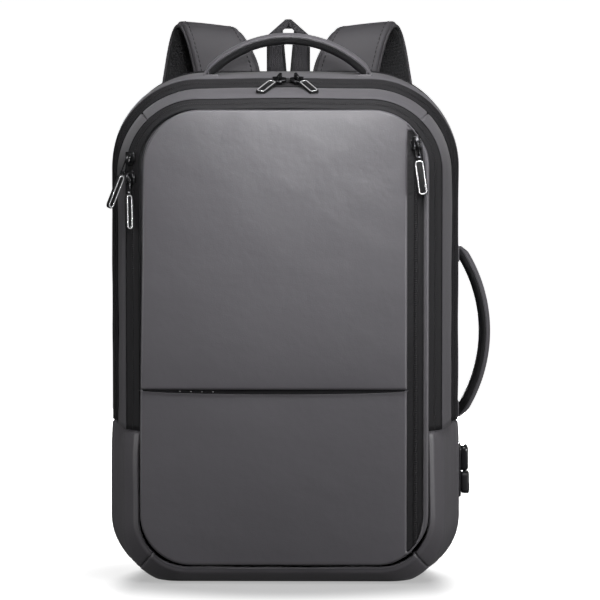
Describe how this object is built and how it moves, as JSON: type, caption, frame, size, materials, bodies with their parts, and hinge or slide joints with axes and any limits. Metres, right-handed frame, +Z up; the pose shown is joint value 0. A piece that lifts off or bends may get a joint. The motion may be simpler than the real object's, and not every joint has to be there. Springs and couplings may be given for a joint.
{
  "type": "laptop backpack",
  "caption": "Grey soft-shell laptop backpack with zipped compartments, grab handles, shoulder straps and a capped charging port on its side.",
  "frame": {"origin": "middle of the face that the bag stands on", "axes": "+Z up, -Y towards the front pocket, +X towards the side grab handle"},
  "size_m": [0.3395, 0.1965, 0.497],
  "materials": {
    "shell_fabric": "matte",
    "mesh_fabric": "matte",
    "lining_fabric": "matte",
    "zip_tape": "satin",
    "zip_coil": "satin",
    "webbing": "matte",
    "slider_metal": "gloss",
    "pull_rubber": "satin",
    "pull_rim": "polished",
    "buckle_plastic": "satin",
    "port_plastic": "gloss",
    "port_steel": "satin",
    "port_rubber": "matte"
  },
  "bodies": {
    "root": {"back_panel": "shell_fabric", "back_pad_left": "mesh_fabric", "back_pad_right": "mesh_fabric", "lumbar_pad": "mesh_fabric", "rear_gusset": "shell_fabric", "base_boot": "shell_fabric", "boot_fold": "shell_fabric", "main_zip_rear_tape": "zip_tape", "main_zip_rear_coil": "zip_coil", "laptop_sleeve": "lining_fabric", "hang_loop": "webbing", "strap_yoke": "shell_fabric", "anchor_tab_left": "shell_fabric", "anchor_tab_right": "shell_fabric", "top_handle_tabs": "shell_fabric", "side_handle_tabs": "shell_fabric", "usb_housing": "port_plastic", "usb_socket": "port_steel", "adjuster_webbing_left": "webbing", "adjuster_webbing_right": "webbing"},
    "main_door": {"middle_gusset": "shell_fabric", "main_zip_front_tape": "zip_tape", "main_zip_front_coil": "zip_coil", "front_zip_tape": "zip_tape", "front_zip_coil": "zip_coil", "divider_panel": "lining_fabric", "front_lining": "lining_fabric", "front_upper_panel": "shell_fabric", "front_pocket_panel": "shell_fabric", "pocket_zip_tape": "zip_tape", "pocket_zip_coil": "zip_coil", "front_edge_strip": "shell_fabric"},
    "main_left_slider": {"main_left_slider": "slider_metal"},
    "main_left_pull": {"main_left_pull": "pull_rubber", "main_left_pull_rim": "pull_rim"},
    "main_right_slider": {"main_right_slider": "slider_metal"},
    "main_right_pull": {"main_right_pull": "pull_rubber", "main_right_pull_rim": "pull_rim"},
    "front_upper_slider": {"front_upper_slider": "slider_metal"},
    "front_upper_pull": {"front_upper_pull": "pull_rubber", "front_upper_pull_rim": "pull_rim"},
    "front_lower_slider": {"front_lower_slider": "slider_metal"},
    "front_lower_pull": {"front_lower_pull": "pull_rubber", "front_lower_pull_rim": "pull_rim"},
    "pocket_slider": {"pocket_slider": "slider_metal"},
    "pocket_pull": {"pocket_pull": "pull_rubber", "pocket_pull_rim": "pull_rim"},
    "top_handle": {"top_handle": "shell_fabric"},
    "side_handle": {"side_handle": "shell_fabric"},
    "usb_cap": {"usb_cap": "port_rubber"},
    "strap_left": {"shoulder_strap_left": "shell_fabric", "strap_mesh_left": "mesh_fabric"},
    "lock_left": {"ladder_lock_left": "buckle_plastic"},
    "strap_right": {"shoulder_strap_right": "shell_fabric", "strap_mesh_right": "mesh_fabric"},
    "lock_right": {"ladder_lock_right": "buckle_plastic"}
  },
  "joints": [
    {"name": "main_door_hinge", "type": "hinge", "parent": "root", "child": "main_door", "pos_m": [0, 0.005, 0.139], "axis": [1, 0, 0], "range_deg": [0, 20], "deforming": ["boot_fold", "front_pocket_panel", "pocket_zip_tape", "pocket_zip_coil", "front_edge_strip"]},
    {"name": "main_left_slide", "type": "slide", "parent": "main_door", "child": "main_left_slider", "axis": [-1, 0, 0], "range_m": [0, 0.065]},
    {"name": "main_left_swing", "type": "hinge", "parent": "main_left_slider", "child": "main_left_pull", "pos_m": [-0.005, -0.00437, 0.44465], "axis": [-0.9304, 0.319, 0.1806], "range_deg": [0, 95]},
    {"name": "main_right_slide", "type": "slide", "parent": "main_door", "child": "main_right_slider", "axis": [1, 0, 0], "range_m": [0, 0.06]},
    {"name": "main_right_swing", "type": "hinge", "parent": "main_right_slider", "child": "main_right_pull", "pos_m": [0.0105, -0.00437, 0.44465], "axis": [-0.9304, -0.319, -0.1806], "range_deg": [0, 95]},
    {"name": "front_upper_slide", "type": "slide", "parent": "main_door", "child": "front_upper_slider", "axis": [0, 0, 1], "range_m": [0, 0.004]},
    {"name": "front_upper_swing", "type": "hinge", "parent": "front_upper_slider", "child": "front_upper_pull", "pos_m": [-0.1357, -0.06532, 0.373], "axis": [-0.809, 0.529, 0.2563], "range_deg": [0, 120]},
    {"name": "front_lower_slide", "type": "slide", "parent": "main_door", "child": "front_lower_slider", "axis": [0, 0, -1], "range_m": [0, 0.2]},
    {"name": "front_lower_swing", "type": "hinge", "parent": "front_lower_slider", "child": "front_lower_pull", "pos_m": [-0.1357, -0.06532, 0.357], "axis": [-0.8354, 0.5463, -0.0604], "range_deg": [0, 85]},
    {"name": "pocket_slide", "type": "slide", "parent": "main_door", "child": "pocket_slider", "axis": [0, 0, -1], "range_m": [0, 0.23]},
    {"name": "pocket_swing", "type": "hinge", "parent": "pocket_slider", "child": "pocket_pull", "pos_m": [0.11515, -0.0731, 0.387], "axis": [-0.9903, 0, -0.1386], "range_deg": [0, 120]},
    {"name": "top_handle_tilt", "type": "hinge", "parent": "root", "child": "top_handle", "pos_m": [0.002, 0.03, 0.451], "axis": [1, 0, 0], "range_deg": [-50, 45]},
    {"name": "side_handle_tilt", "type": "hinge", "parent": "root", "child": "side_handle", "pos_m": [0.161, 0.034, 0.216], "axis": [0, 0, 1], "range_deg": [-50, 50]},
    {"name": "usb_cap_flip", "type": "hinge", "parent": "root", "child": "usb_cap", "pos_m": [0.1652, 0.022, 0.091], "axis": [0, -1, 0], "range_deg": [0, 110]},
    {"name": "strap_left_swing", "type": "hinge", "parent": "root", "child": "strap_left", "pos_m": [-0.054, 0.0765, 0.44], "axis": [1, 0, 0], "range_deg": [0, 25], "deforming": ["adjuster_webbing_left"]},
    {"name": "lock_left_tilt", "type": "hinge", "parent": "strap_left", "child": "lock_left", "pos_m": [-0.104, 0.093, 0.191], "axis": [1, 0, 0], "range_deg": [0, 30]},
    {"name": "strap_right_swing", "type": "hinge", "parent": "root", "child": "strap_right", "pos_m": [0.054, 0.0765, 0.44], "axis": [1, 0, 0], "range_deg": [0, 25], "deforming": ["adjuster_webbing_right"]},
    {"name": "lock_right_tilt", "type": "hinge", "parent": "strap_right", "child": "lock_right", "pos_m": [0.104, 0.093, 0.191], "axis": [1, 0, 0], "range_deg": [0, 30]}
  ]
}
